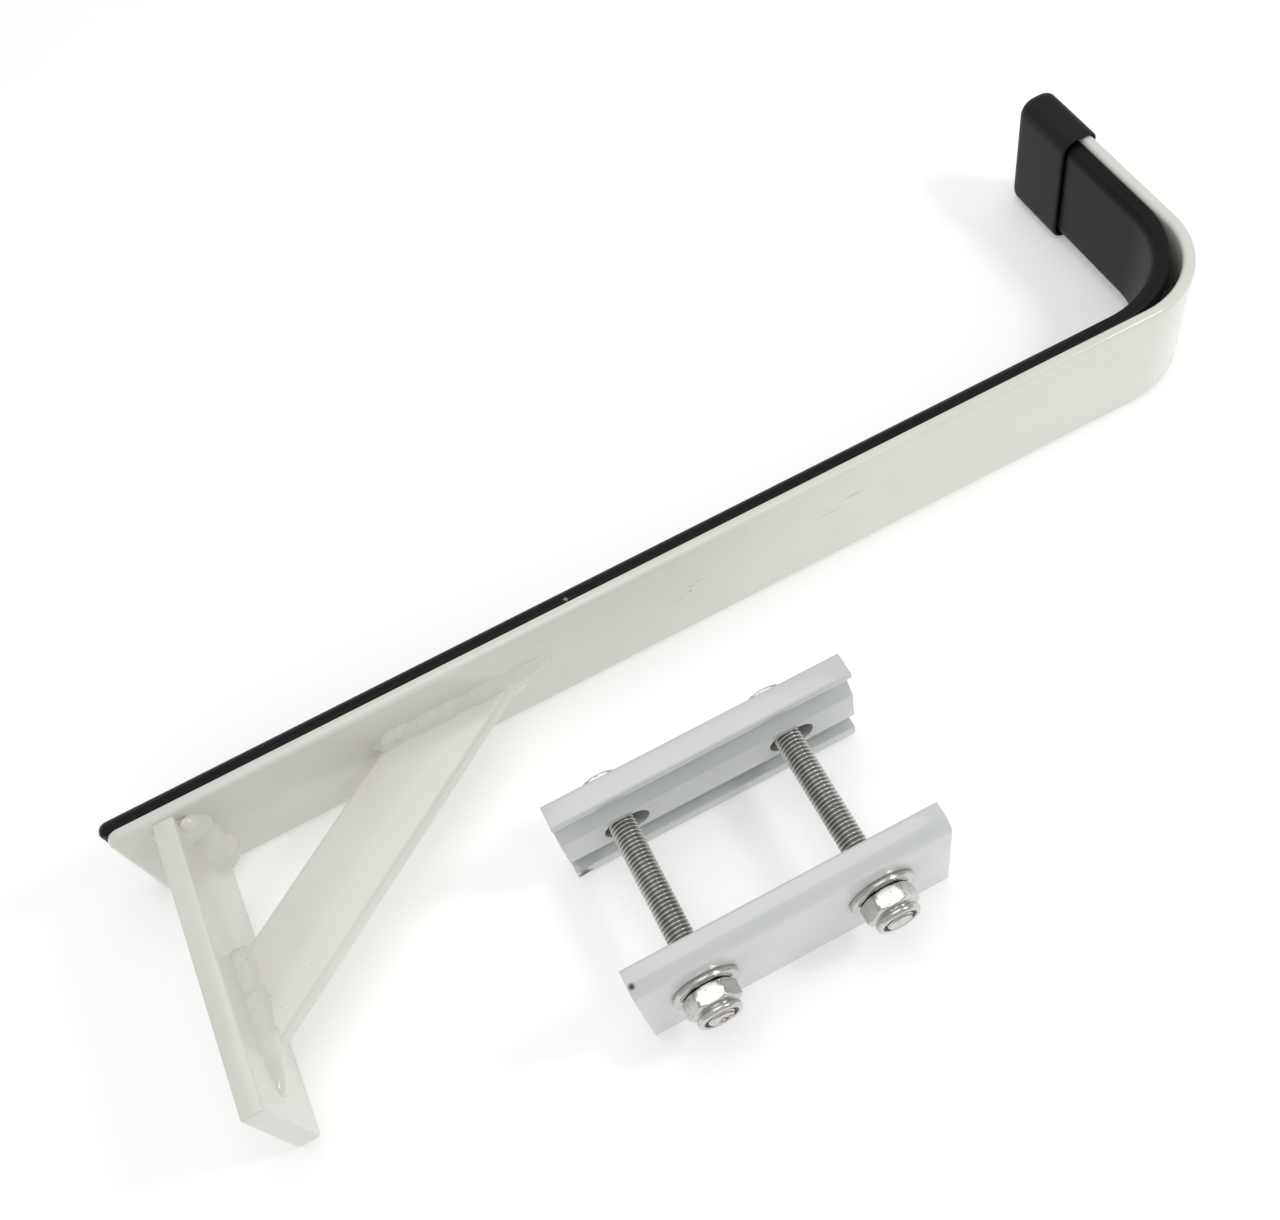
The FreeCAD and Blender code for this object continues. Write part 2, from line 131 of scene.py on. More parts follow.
class Wire:
    # a node's output that can stand in a sum
    def __init__(self, tree, socket=None):
        self.tree = tree
        self.socket = socket

    def node(self, kind, settings=None, values=None, output=0):
        made = self.tree.nodes.new(kind)
        for key, value in (settings or {}).items():
            setattr(made, key, value)
        for key, value in (values or {}).items():
            if isinstance(value, Wire):
                self.tree.links.new(value.socket, made.inputs[key])
            else:
                made.inputs[key].default_value = value
        return Wire(self.tree, made.outputs[output])

    def calc(self, operation, first, second):
        return self.node("ShaderNodeMath", {"operation": operation}, {0: first, 1: second})

    def __add__(self, other):
        return self.calc("ADD", self, other)

    def __radd__(self, other):
        return self.calc("ADD", other, self)

    def __sub__(self, other):
        return self.calc("SUBTRACT", self, other)

    def __rsub__(self, other):
        return self.calc("SUBTRACT", other, self)

    def __mul__(self, other):
        return self.calc("MULTIPLY", self, other)

    def __rmul__(self, other):
        return self.calc("MULTIPLY", other, self)

    def step(self, low, high):
        # 0 below low, 1 above high, smooth between; low may be the larger
        return self.node("ShaderNodeMapRange", {"interpolation_type": "SMOOTHSTEP"},
                         {0: self, 1: low, 2: high, 3: 0.0, 4: 1.0})

    def blend(self, first, second):
        # this value as the share of the second colour
        return self.node("ShaderNodeMix", {"data_type": "RGBA"},
                         {0: self, 6: first, 7: second}, output=2)

    def scaled(self, scale):
        return self.node("ShaderNodeMapping", {}, {0: self, 3: scale})

    def noise(self, scale, detail=2.0, roughness=0.5):
        return self.node("ShaderNodeTexNoise", {},
                         {"Vector": self, "Scale": scale, "Detail": detail,
                          "Roughness": roughness})

    def cells(self, scale):
        return self.node("ShaderNodeTexVoronoi", {}, {"Vector": self, "Scale": scale})

    def distanceTo(self, place):
        return self.node("ShaderNodeVectorMath", {"operation": "DISTANCE"},
                         {0: self, 1: place}, output=1)

    def bump(self, strength, distance, base=None):
        values = {"Height": self, "Strength": strength, "Distance": distance}
        if base is not None:
            values["Normal"] = base
        return self.node("ShaderNodeBump", {}, values)


def newFinish(name, fixed):
    # an empty Principled material; fixed numbers go straight onto the shader's sockets
    material = bpy.data.materials.new(name)
    material.use_nodes = True
    tree = material.node_tree
    shader = tree.nodes["Principled BSDF"]
    for key, value in fixed.items():
        shader.inputs[key].default_value = value
    start = Wire(tree)
    place = start.node("ShaderNodeTexCoord", output=3)
    return material, shader, place


def feed(shader, name, wire):
    wire.tree.links.new(wire.socket, shader.inputs[name])


def makePowderCoat(name, look):
    # stoved powder: soft orange peel, faint clouding, a few dark nibs, scuffs and chips
    material, shader, place = newFinish(name, {"IOR": 1.5, "Coat Roughness": 0.09,
                                               "Coat Weight": look["coat"]})
    cloud = place.noise(9.0, 3.0)
    fine = place.noise(60.0, 4.0)
    tint = cloud.step(0.35, 0.68).blend(look["colour"], look["deepColour"])
    grime = (fine.step(0.42, 0.95) * 0.3).blend(tint, look["grime"])
    nibs = place.cells(look["nibScale"]).step(0.07, 0.035)
    rareNibs = nibs * place.noise(21.0).step(0.56, 0.62) * look["nibs"]
    colour = rareNibs.blend(grime, look["nibColour"])
    rough = look["roughness"] + fine * 0.05 + cloud * 0.03
    for spot in look["marks"]:
        near = place.distanceTo(spot["at"]).step(spot["size"], 0.25 * spot["size"])
        broken = place.scaled(spot["stretch"]).noise(spot["grain"], 3.0)
        mark = near * broken.step(spot["edge"], spot["edge"] + 0.05)
        colour = mark.blend(colour, spot["colour"])
        rough = rough + mark * 0.3
    feed(shader, "Base Color", colour)
    feed(shader, "Roughness", rough)
    ripple = place.noise(look["peelScale"], 1.5)
    skin = ripple.bump(look["peel"], 0.00012)
    feed(shader, "Normal", rareNibs.bump(0.12, 0.0001, skin))
    return material


def makeRubber(name, look):
    # moulded rubber: fine grain, dusty bloom on the flats and a few pale nicks
    material, shader, place = newFinish(name, {"IOR": 1.5, "Specular IOR Level": 0.2,
                                               "Sheen Weight": look["sheen"],
                                               "Sheen Roughness": 0.5})
    cloud = place.noise(16.0, 4.0, 0.6)
    dust = place.noise(210.0, 3.0).step(0.6, 0.78)
    colour = cloud.step(0.3, 0.75).blend(look["colour"], look["bloom"])
    colour = (dust * 0.25).blend(colour, look["dust"])
    for spot in look["marks"]:
        near = place.distanceTo(spot["at"]).step(spot["size"], 0.3 * spot["size"])
        mark = near * place.noise(900.0).step(0.42, 0.5)
        colour = mark.blend(colour, spot["colour"])
    feed(shader, "Base Color", colour)
    feed(shader, "Roughness", look["roughness"] + cloud * 0.12 + dust * 0.08)
    grain = place.noise(1500.0, 2.0)
    feed(shader, "Normal", grain.bump(0.12, 0.0001))
    return material


def makeStainless(name, look):
    # polished stainless: drawn streaks along the bolt, dull pits and dark thread roots
    material, shader, place = newFinish(name, {"Metallic": 1.0})
    streak = place.scaled(look["streak"]).noise(520.0, 3.0)
    cloud = place.noise(120.0, 3.0)
    pits = place.noise(850.0, 2.0).step(0.63, 0.7)
    colour = cloud.step(0.3, 0.7).blend(look["colour"], look["warmColour"])
    colour = (pits * look["pits"]).blend(colour, look["pitColour"])
    depth = place.node("ShaderNodeAttribute", {"attribute_name": "rootDepth"}, output=2)
    colour = (depth * 0.8).blend(colour, look["rootColour"])
    rough = look["roughness"] + streak * 0.16 + pits * 0.2 + depth * 0.2
    for spot in look["marks"]:
        near = place.distanceTo(spot["at"]).step(spot["size"], 0.45 * spot["size"])
        blotch = near * place.noise(spot["grain"], 4.0).step(spot["edge"], spot["edge"] + 0.06)
        colour = blotch.blend(colour, spot["colour"])
        feed(shader, "Metallic", 1.0 - blotch * 0.8)
        rough = rough + blotch * 0.3
    feed(shader, "Base Color", colour)
    feed(shader, "Roughness", rough)
    feed(shader, "Normal", (streak + pits * -0.6).bump(look["bump"], 0.0001))
    return material


def makeNylon(name, look):
    # black nylon: slow clouding in its colour and gloss
    material, shader, place = newFinish(name, {"IOR": 1.53})
    cloud = place.noise(300.0, 3.0)
    feed(shader, "Base Color", cloud.blend(look["colour"], look["paleColour"]))
    feed(shader, "Roughness", look["roughness"] + cloud * 0.2)
    feed(shader, "Normal", cloud.bump(0.1, 0.0001))
    return material


# the frame's own places

barLow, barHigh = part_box("hook_bar")
footLow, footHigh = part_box("foot_bar")
braceLow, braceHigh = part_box("brace_bar")
stripLow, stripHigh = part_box("pad_strip")
capLow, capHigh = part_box("tip_cap")
backLow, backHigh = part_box("back_plate")
frontLow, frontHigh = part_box("front_plate")


# finishes

armCoatLook = {
    "colour": (0.765, 0.757, 0.70, 1), "deepColour": (0.735, 0.727, 0.67, 1),
    "grime": (0.60, 0.59, 0.53, 1), "nibColour": (0.16, 0.15, 0.13, 1),
    "nibScale": 260.0, "nibs": 0.85, "coat": 0.5, "roughness": 0.2,
    "peelScale": 420.0, "peel": 0.09,
    "marks": [
        {"at": (barLow.x + 0.2225, barLow.y, 0.0290), "size": 0.011, "grain": 330.0,
         "stretch": (0.35, 1.0, 1.9), "edge": 0.60, "colour": (0.05, 0.05, 0.05, 1)},
        {"at": (barLow.x + 0.285, barLow.y, 0.036), "size": 0.02, "grain": 260.0,
         "stretch": (0.2, 1.0, 2.2), "edge": 0.66, "colour": (0.55, 0.54, 0.50, 1)},
    ],
}
clampCoatLook = {
    "colour": (0.655, 0.678, 0.664, 1), "deepColour": (0.625, 0.648, 0.634, 1),
    "grime": (0.55, 0.57, 0.56, 1), "nibColour": (0.12, 0.12, 0.12, 1),
    "nibScale": 300.0, "nibs": 0.6, "coat": 0.5, "roughness": 0.2,
    "peelScale": 480.0, "peel": 0.06,
    "marks": [
        {"at": (backLow.x + 0.003, backLow.y + 0.001, 0.003), "size": 0.0075, "grain": 420.0,
         "stretch": (0.5, 1.0, 1.0), "edge": 0.53, "colour": (0.05, 0.05, 0.05, 1)},
        {"at": (frontLow.x + 0.0015, frontLow.y + 0.0035, 0.0492), "size": 0.0016,
         "grain": 700.0, "stretch": (1.0, 1.0, 1.0), "edge": 0.30,
         "colour": (0.03, 0.03, 0.03, 1)},
    ],
}
stripLook = {
    "colour": (0.002, 0.0023, 0.0026, 1), "bloom": (0.005, 0.0055, 0.006, 1),
    "dust": (0.03, 0.03, 0.03, 1), "roughness": 0.36, "sheen": 0.0,
    "marks": [{"at": (barLow.x + 0.180, stripHigh.y - 0.115, 0.050), "size": 0.0013,
               "colour": (0.35, 0.35, 0.35, 1)}],
}
capLook = {
    "colour": (0.005, 0.0055, 0.006, 1), "bloom": (0.011, 0.012, 0.0125, 1),
    "dust": (0.05, 0.05, 0.05, 1), "roughness": 0.45, "sheen": 0.02, "marks": [],
}
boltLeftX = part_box("bolt_left")[0].x + 9.8 * mm
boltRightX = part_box("bolt_right")[0].x + 9.8 * mm
boltHeight = 0.5 * (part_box("nylon_ring_left")[0].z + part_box("nylon_ring_left")[1].z)
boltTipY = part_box("bolt_left")[0].y
steelLook = {
    "colour": (0.62, 0.61, 0.585, 1), "warmColour": (0.54, 0.53, 0.50, 1),
    "pitColour": (0.16, 0.155, 0.14, 1), "rootColour": (0.12, 0.115, 0.10, 1),
    "pits": 0.45, "roughness": 0.14, "streak": (0.3, 1.0, 1.0), "bump": 0.05,
    "marks": [{"at": (boltLeftX + 0.0012, boltTipY, boltHeight - 0.0018), "size": 0.0036,
               "grain": 900.0, "edge": 0.47, "colour": (0.16, 0.025, 0.014, 1)}],
}
nylonLook = {"colour": (0.010, 0.010, 0.011, 1), "paleColour": (0.022, 0.022, 0.023, 1),
             "roughness": 0.4}

armCoat = makePowderCoat("armCoat", armCoatLook)
clampCoat = makePowderCoat("clampCoat", clampCoatLook)
stripRubber = makeRubber("stripRubber", stripLook)
capRubber = makeRubber("capRubber", capLook)
stainless = makeStainless("stainless", steelLook)
blackNylon = makeNylon("blackNylon", nylonLook)
print("finishes made")


# hook bar and rubber strip: one section carried along a bent path

hookBarShape = {"thickness": 5.0 * mm, "bendRadius": 38.0 * mm, "edgeRadius": 1.9 * mm,
                "backRadius": 1.9 * mm, "endRadius": 5.0 * mm, "endRound": 0.45}
stripShape = {"thickness": 7.0 * mm, "bendRadius": 44.0 * mm, "edgeRadius": 4.6 * mm,
              "backRadius": 1.0 * mm, "endRadius": 3.6 * mm, "endRound": 0.45}


def makeBentStrap(name, low, high, shape, material):
    # each ring = path place + section width times the path's normal, height straight up; the
    # path lies half a thickness in from the outer faces at low y and high x, and near its left
    # end the section shrinks along a quarter round
    half = 0.5 * shape["thickness"]
    halfHigh = 0.5 * (high.z - low.z)
    middle = 0.5 * (high.z + low.z)
    ends = np.array([0, 0.05, 0.15, 0.3, 0.5, 0.8, 1.2, 1.6, 2.1, 2.8, 3.6, 4.5, 6.0]) * mm
    path, normal = bentPath(low.x, low.y + half, high.x - half, high.y,
                            shape["bendRadius"] - half, ends)
    fromEnd = path[:, 0] - low.x
    halfA = half - endShrink(fromEnd, shape["endRound"] * shape["thickness"])
    halfB = halfHigh - endShrink(fromEnd, shape["endRadius"])
    rings = []
    for place, side, a, b in zip(path, normal, halfA, halfB):
        share = a / half
        section = roundedSection(a, b, share * shape["edgeRadius"], share * shape["backRadius"])
        ring = place + section[:, :1] * side
        ring[:, 2] = middle + section[:, 1]
        rings.append(ring)
    return buildPiece(name, np.array(rings), material, flip=True)


hookBar = makeBentStrap("hookBar", barLow, barHigh, hookBarShape, armCoat)
settle(hookBar, "arm", "arm_coat", "hook_bar")
padStrip = makeBentStrap("padStrip", stripLow, stripHigh, stripShape, stripRubber)
settle(padStrip, "arm", "strip_rubber", "pad_strip")
print("bar and strip made")


# tip cap: bore, lip and outside as one skin

tipCapShape = {"wall": 1.7 * mm, "endWall": 3.7 * mm, "barRadius": 5.0 * mm,
               "stripRadius": 7.0 * mm, "boreRadius": 1.8 * mm, "boreStripRadius": 3.6 * mm,
               "endRadius": 5.5 * mm, "lipWave": 0.55 * mm}


def makeTipCap():
    # rings run from the bore's floor out to the lip, round it and back along the outside: each
    # is a rounded rectangle of the cap's size less an inset, the lip is a half circle of the
    # wall's thickness, and the closed end is a quarter round
    shape = tipCapShape
    halfA = 0.5 * (capHigh.x - capLow.x)
    halfB = 0.5 * (capHigh.z - capLow.z)
    centreX = 0.5 * (capHigh.x + capLow.x)
    centreZ = 0.5 * (capHigh.z + capLow.z)
    wall = shape["wall"]
    mouth, back = capLow.y, capHigh.y
    rows = []

    def row(y, inset, radiusPlus, radiusMinus, wave):
        section = roundedSection(halfA - inset, halfB - inset, radiusPlus, radiusMinus)
        ring = np.stack([centreX + section[:, 0], np.full(len(section), y),
                         centreZ + section[:, 1]], axis=1)
        swing = 0.5 + 0.5 * np.sin(section[:, 1] / halfB * 2.6 + 0.6)
        ring[:, 1] += wave * shape["lipWave"] * swing * (section[:, 0] < 0)
        rows.append(ring)

    floor = back - shape["endWall"]
    for y in np.linspace(floor, mouth + 2.2 * wall, 8):
        row(y, wall, shape["boreRadius"], shape["boreStripRadius"], 0)
    for share in np.linspace(0.6, 1, 3):
        row(mouth + (2.2 - 1.7 * share) * wall, wall, shape["boreRadius"],
            shape["boreStripRadius"], share)
    for turn in np.linspace(0.1, 0.9, 7) * math.pi:
        inset = 0.5 * wall * (1 + math.cos(turn))
        grow = 1 - inset / wall
        row(mouth + 0.5 * wall * (1 - math.sin(turn)), inset,
            shape["boreRadius"] + grow * (shape["barRadius"] - shape["boreRadius"]),
            shape["boreStripRadius"] + grow * (shape["stripRadius"]
                                               - shape["boreStripRadius"]), 1)
    straight = back - shape["endRadius"]
    for share in np.linspace(0, 1, 12) ** 1.3:
        y = mouth + 0.5 * wall + share * (straight - mouth - 0.5 * wall)
        row(y, 0, shape["barRadius"], shape["stripRadius"], max(0, 1 - 4 * share))
    for turn in np.linspace(0.1, 1, 9) * 0.5 * math.pi:
        inset = shape["endRadius"] * (1 - math.cos(turn))
        row(straight + shape["endRadius"] * math.sin(turn), inset,
            max(shape["barRadius"] - 0.8 * inset, 0.6 * mm),
            max(shape["stripRadius"] - 0.8 * inset, 0.6 * mm), 0)
    return buildPiece("tipCap", np.array(rows), capRubber, flip=True)


settle(makeTipCap(), "cap", "cap_rubber", "tip_cap")


# foot bar and brace

footShape = {"edgeRadius": 0.8 * mm, "lowCornerRadius": 4.0 * mm}
braceShape = {"width": 30.0 * mm, "edgeRadius": 1.7 * mm,
              "barContact": 53.4 * mm, "footContact": 36.3 * mm}


def makeFootBar():
    # a rounded section carried along Y, its free end eased on every edge
    radius, lowRadius = footShape["edgeRadius"], footShape["lowCornerRadius"]
    halfA = 0.5 * (footHigh.x - footLow.x)
    middleX = 0.5 * (footHigh.x + footLow.x)
    rows = []
    curve = 1 - np.cos(np.linspace(0, 0.5 * math.pi, 9))
    steps = np.concatenate([radius * curve, radius + (lowRadius - radius) * curve[1:],
                            np.linspace(6 * mm, footHigh.y - footLow.y, 30)])
    for distance in steps:
        inset = endShrink(distance, radius)
        low = footLow.z + endShrink(distance, lowRadius)
        high = footHigh.z - inset
        corner = max(radius - 0.5 * inset, 0.2 * mm)
        section = roundedSection(halfA - inset, 0.5 * (high - low), corner, corner, 5)
        rows.append(np.stack([middleX + section[:, 0],
                              np.full(len(section), footLow.y + distance),
                              0.5 * (high + low) + section[:, 1]], axis=1))
    return buildPiece("footBar", np.array(rows), armCoat, flip=True)


def makeBraceBar():
    # every line of the section runs straight from the long bar's face to the foot's face
    faceY, faceX = braceHigh.y, braceLow.x
    along = np.array([braceHigh.x - 0.5 * braceShape["barContact"] - faceX,
                      faceY - braceLow.y - 0.5 * braceShape["footContact"]])
    along = along / np.linalg.norm(along)
    across = np.array([along[1], -along[0]])
    section = roundedSection(0.5 * braceShape["width"], 0.5 * (braceHigh.z - braceLow.z),
                             braceShape["edgeRadius"], braceShape["edgeRadius"])
    middle = np.array([braceHigh.x - 0.5 * braceShape["barContact"], faceY])
    flat = middle + section[:, :1] * across
    toBar = flat + ((faceY - flat[:, 1]) / along[1])[:, None] * along
    toFoot = flat + ((faceX - flat[:, 0]) / along[0])[:, None] * along
    height = 0.5 * (braceLow.z + braceHigh.z) + section[:, 1]
    share = np.linspace(0, 1, 30)[:, None, None]
    plan = (1 - share) * toFoot + share * toBar
    rings = np.concatenate([plan, np.broadcast_to(height[None, :, None],
                                                  plan.shape[:2] + (1,))], axis=2)
    return buildPiece("braceBar", rings, armCoat, flip=False)


settle(makeFootBar(), "arm", "arm_coat", "foot_bar")
settle(makeBraceBar(), "arm", "arm_coat", "brace_bar")


# weld beads: painted fillets with feathered toes, lumps and faint crescents

beadShape = {"pitch": 2.1 * mm, "ripple": 0.05, "lump": 0.15, "bulge": 0.27, "toe": 1.7,
             "sunk": 0.6 * mm, "lean": 2.4 * mm, "around": 26}


def smoothNoise(s, t, seed):
    # a sum of slow waves in both directions, roughly between -1 and 1
    draw = np.random.default_rng(seed)
    total = np.zeros(np.broadcast(s, t).shape)
    for wave in (1 / 19, 1 / 12, 1 / 8, 1 / 5.5):
        tilt, phase = draw.uniform(-0.8, 0.8), draw.uniform(0, 6.28)
        total = total + np.sin(2 * math.pi * (s / mm * wave) + tilt * t + phase) / wave ** 0.8
    return total / 24


def beadSkin(path, sideA, sideB, legA, legB, seed):
    # across the bead, t from 0 to 1: A = leg (1 - t)^toe, B = leg t^toe, plus a bulge
    # sin(pi t) along both; each leg swells with slow waves and with crescents along the run
    step = np.linalg.norm(np.diff(path, axis=0), axis=1)
    s = np.concatenate([[0], np.cumsum(step)])[:, None]
    t = np.linspace(0, 1, beadShape["around"])[None, :]
    swell = 1 + beadShape["lump"] * smoothNoise(s, 3 * t, seed)
    lean = s + beadShape["lean"] * np.sin(math.pi * t)
    crest = 0.5 + 0.5 * np.sin(2 * math.pi * lean / beadShape["pitch"]
                               + 1.5 * smoothNoise(s, t, seed + 50))
    hump = np.sin(math.pi * t)
    patchy = np.clip(0.5 + smoothNoise(s, t, seed + 90), 0, 1)
    swell = swell * (1 + beadShape["ripple"] * (crest - 1) * hump * patchy)
    a = legA[:, None] * swell * ((1 - t) ** beadShape["toe"] + beadShape["bulge"] * hump)
    b = legB[:, None] * swell * (t ** beadShape["toe"] + beadShape["bulge"] * hump)
    skin = path[:, None, :] + a[..., None] * sideA[:, None, :] + b[..., None] * sideB[:, None, :]
    root = path - beadShape["sunk"] * (sideA + sideB)
    return np.concatenate([skin, root[:, None, :]], axis=1)


def cornerBead(start, end, sideA, sideB, legA, legB, seed, endEase):
    # a straight run in the corner of two faces, its legs shrinking to nothing at both ends
    start, end, sideA, sideB = (np.array(item, float) for item in (start, end, sideA, sideB))
    length = np.linalg.norm(end - start)
    s = 0.5 - 0.5 * np.cos(np.linspace(0, math.pi, 110))
    path = start + s[:, None] * (end - start)
    fromStart = np.clip(s * length / endEase, 0, 1)
    fromEnd = np.clip((1 - s) * length / endEase, 0, 1)
    ease = np.sqrt(1 - (1 - fromStart) ** 2) * np.sqrt(1 - (1 - fromEnd) ** 2)
    ease = np.maximum(ease, 0.03)
    rings = beadSkin(path, np.broadcast_to(sideA, path.shape),
                     np.broadcast_to(sideB, path.shape), legA * ease, legB * ease, seed)
    inverted = np.dot(np.cross(sideA, sideB), end - start) < 0
    return rings, inverted


def footprintPath(halfLong, halfShort, cornerRadius, count=260):
    # once round a rectangle with eased corners: places and outward normals in its own plane
    section = roundedSection(halfLong, halfShort, cornerRadius, cornerRadius, 12)
    closed = np.concatenate([section, section[:1]])
    step = np.concatenate([[0], np.cumsum(np.linalg.norm(np.diff(closed, axis=0), axis=1))])
    at = np.linspace(0, step[-1], count, endpoint=False)
    place = np.stack([np.interp(at, step, closed[:, 0]), np.interp(at, step, closed[:, 1])],
                     axis=1)
    ahead = np.roll(place, -2, axis=0) - np.roll(place, 2, axis=0)
    normal = np.stack([ahead[:, 1], -ahead[:, 0]], axis=1)
    return place, normal / np.linalg.norm(normal, axis=1)[:, None]


def moundRings(centre, axes, drop):
    # a low oval drop: height times (1 - r^2)^0.75, on a base sunk half a millimetre
    centre = np.array(centre, float)
    alongAxis, acrossAxis, upAxis = np.array(axes, float)
    turn = np.arange(48) / 48 * 2 * math.pi
    rim = np.sin(np.linspace(0.5 * math.pi, 0.03, 16))
    r = np.concatenate([[0.05, 1.0], rim])[:, None]
    lift = drop["height"] * np.maximum(1 - r ** 2, 0) ** 0.75
    lift[:2] = -0.5 * mm
    wobble = (1 + 0.07 * np.sin(3 * turn + drop["seed"])
              + 0.05 * np.sin(5 * turn + 2 * drop["seed"]))
    out = (drop["long"] * r * wobble * np.cos(turn))[..., None] * alongAxis
    side = (drop["short"] * r * wobble * np.sin(turn))[..., None] * acrossAxis
    inverted = np.dot(np.cross(alongAxis, acrossAxis), upAxis) < 0
    return centre + out + side + lift[..., None] * upAxis, True, inverted


def shells(name, parts):
    # several shells in one object: each part's faces count on from the corners before it
    faces = []
    offset = 0
    for rings, closeEnds, inverted in parts:
        faces += shellFaces(rings, closeEnds, inverted, offset)
        offset += rings.shape[0] * rings.shape[1]
    corners = np.concatenate([rings.reshape(-1, 3) for rings, closeEnds, inverted in parts])
    return finishMesh(name, corners, faces, armCoat, 75)


footWeld = {"from": 3.0 * mm, "to": 45.5 * mm, "legFoot": 8.2 * mm, "legBar": 6.6 * mm,
            "endEase": 6 * mm, "seed": 11,
            "drop": {"right": 2.4 * mm, "back": 1.4 * mm, "below": 4 * mm, "long": 6.5 * mm,
                     "short": 4.4 * mm, "height": 3.4 * mm, "seed": 3}}
outerWeld = {"from": 3.5 * mm, "to": 46.5 * mm, "leg": 3.6 * mm, "endEase": 5 * mm, "seed": 12}


def makeFootBeads():
    # one straight bead in each corner of foot bar and long bar, with a drop on the inner one
    right, left, back = (1, 0, 0), (-1, 0, 0), (0, -1, 0)
    x, y, drop = footHigh.x, barLow.y, footWeld["drop"]
    rings, inverted = cornerBead((x, y, footWeld["from"]), (x, y, footWeld["to"]), right, back,
                                 footWeld["legFoot"], footWeld["legBar"], footWeld["seed"],
                                 footWeld["endEase"])
    blob = moundRings((x + drop["right"], y - drop["back"], footWeld["to"] - drop["below"]),
                      ((0.82, 0.57, 0), (0, 0, 1), (0.57, -0.82, 0)), drop)
    inner = shells("weldFootInner", [(rings, True, inverted), blob])
    settle(inner, "arm", "arm_coat", "weld_foot_inner")
    x = footLow.x
    rings, inverted = cornerBead((x, y, outerWeld["from"]), (x, y, outerWeld["to"]), left, back,
                                 outerWeld["leg"], outerWeld["leg"], outerWeld["seed"],
                                 outerWeld["endEase"])
    outer = shells("weldFootOuter", [(rings, True, inverted)])
    settle(outer, "arm", "arm_coat", "weld_foot_outer")


barWeld = {"contact": braceShape["barContact"], "out": 4.4 * mm, "outTop": 1.6 * mm,
           "up": 4.0 * mm, "upTop": 2.6 * mm, "seed": 21,
           "tail": {"long": 10.5 * mm, "short": 4.8 * mm, "height": 3.3 * mm, "seed": 2},
           "start": {"long": 8.0 * mm, "short": 4.4 * mm, "height": 3.2 * mm, "seed": 5}}
legWeld = {"contact": braceShape["footContact"], "out": 4.6 * mm, "outTop": 1.6 * mm,
           "up": 4.6 * mm, "upTop": 2.8 * mm, "seed": 22,
           "tail": {"long": 13.0 * mm, "short": 5.2 * mm, "height": 3.6 * mm, "seed": 7}}
footprint = {"endInset": 1.2 * mm, "topInset": 0.2 * mm, "cornerRadius": 3.0 * mm}


def footprintBead(weld, origin, along, rise):
    # right round the brace's footprint: origin + place along the long side and straight up;
    # rise runs up the brace, and both legs are longer on the upper side
    place, normal = footprintPath(0.5 * weld["contact"] - footprint["endInset"],
                                  0.5 * (braceHigh.z - braceLow.z) - footprint["topInset"],
                                  footprint["cornerRadius"])
    along, up = np.array(along, float), np.array([0.0, 0.0, 1.0])
    path = np.array(origin) + place[:, :1] * along + place[:, 1:] * up
    outward = normal[:, :1] * along + normal[:, 1:] * up
    top = np.clip(0.5 + 0.5 * normal[:, 1], 0, 1)
    return beadSkin(path, outward, np.broadcast_to(rise, path.shape),
                    weld["out"] + weld["outTop"] * top, weld["up"] + weld["upTop"] * top,
                    weld["seed"])


def makeBraceBeads():
    # each joint has one bead right round the brace's footprint, and drops where it ran on
    middle = 0.5 * (braceHigh.z + braceLow.z)
    y, x = barLow.y, footHigh.x
    centreX = braceHigh.x - 0.5 * barWeld["contact"]
    centreY = braceLow.y + 0.5 * legWeld["contact"]
    axis = np.array([x - centreX, centreY - y, 0])
    axis = axis / np.linalg.norm(axis)
    rings = footprintBead(barWeld, (centreX, y, middle), (1, 0, 0), axis)
    tail = moundRings((braceHigh.x + 3.0 * mm, y, braceHigh.z + 0.4 * mm),
                      ((1, 0, 0.12), (0, 0, 1), (0, -1, 0)), barWeld["tail"])
    start = moundRings((braceHigh.x - barWeld["contact"] + 3 * mm, y, braceHigh.z + 1.5 * mm),
                       ((1, 0, 0.15), (0, 0, 1), (0, -1, 0)), barWeld["start"])
    ring = shells("weldBraceBar", [(rings, False, True), tail, start])
    settle(ring, "arm", "arm_coat", "weld_brace_bar_upper", "weld_brace_bar_lower")
    rings = footprintBead(legWeld, (x, centreY, middle), (0, 1, 0), -axis)
    tail = moundRings((x, braceLow.y - 1.5 * mm, braceHigh.z - 2.0 * mm),
                      ((0, 1, 0.1), (0, 0, 1), (1, 0, 0)), legWeld["tail"])
    ring = shells("weldBraceFoot", [(rings, False, False), tail])
    settle(ring, "arm", "arm_coat", "weld_brace_foot_upper", "weld_brace_foot_lower")


makeFootBeads()
makeBraceBeads()
print("arm made")


# clamp plates: an extruded section with two slots cut and every edge eased

plateShape = {"depth": 4.0 * mm, "lowerLip": 8.5 * mm, "grooveTop": 14.8 * mm,
              "plateauLow": 18.2 * mm, "plateauHigh": 34.0 * mm, "coveTop": 39.3 * mm,
              "upperLip": 46.5 * mm, "round": 5.5 * mm, "smallRound": 1.5 * mm,
              "lipRound": 3.8 * mm, "lipSmallRound": 1.2 * mm, "coveRound": 3.0 * mm,
              "edge": 0.4 * mm}
slotShape = {"radius": 5.5 * mm, "straight": 6.0 * mm,
             "centres": (23.7 * mm, 88.2 * mm), "steps": 20}


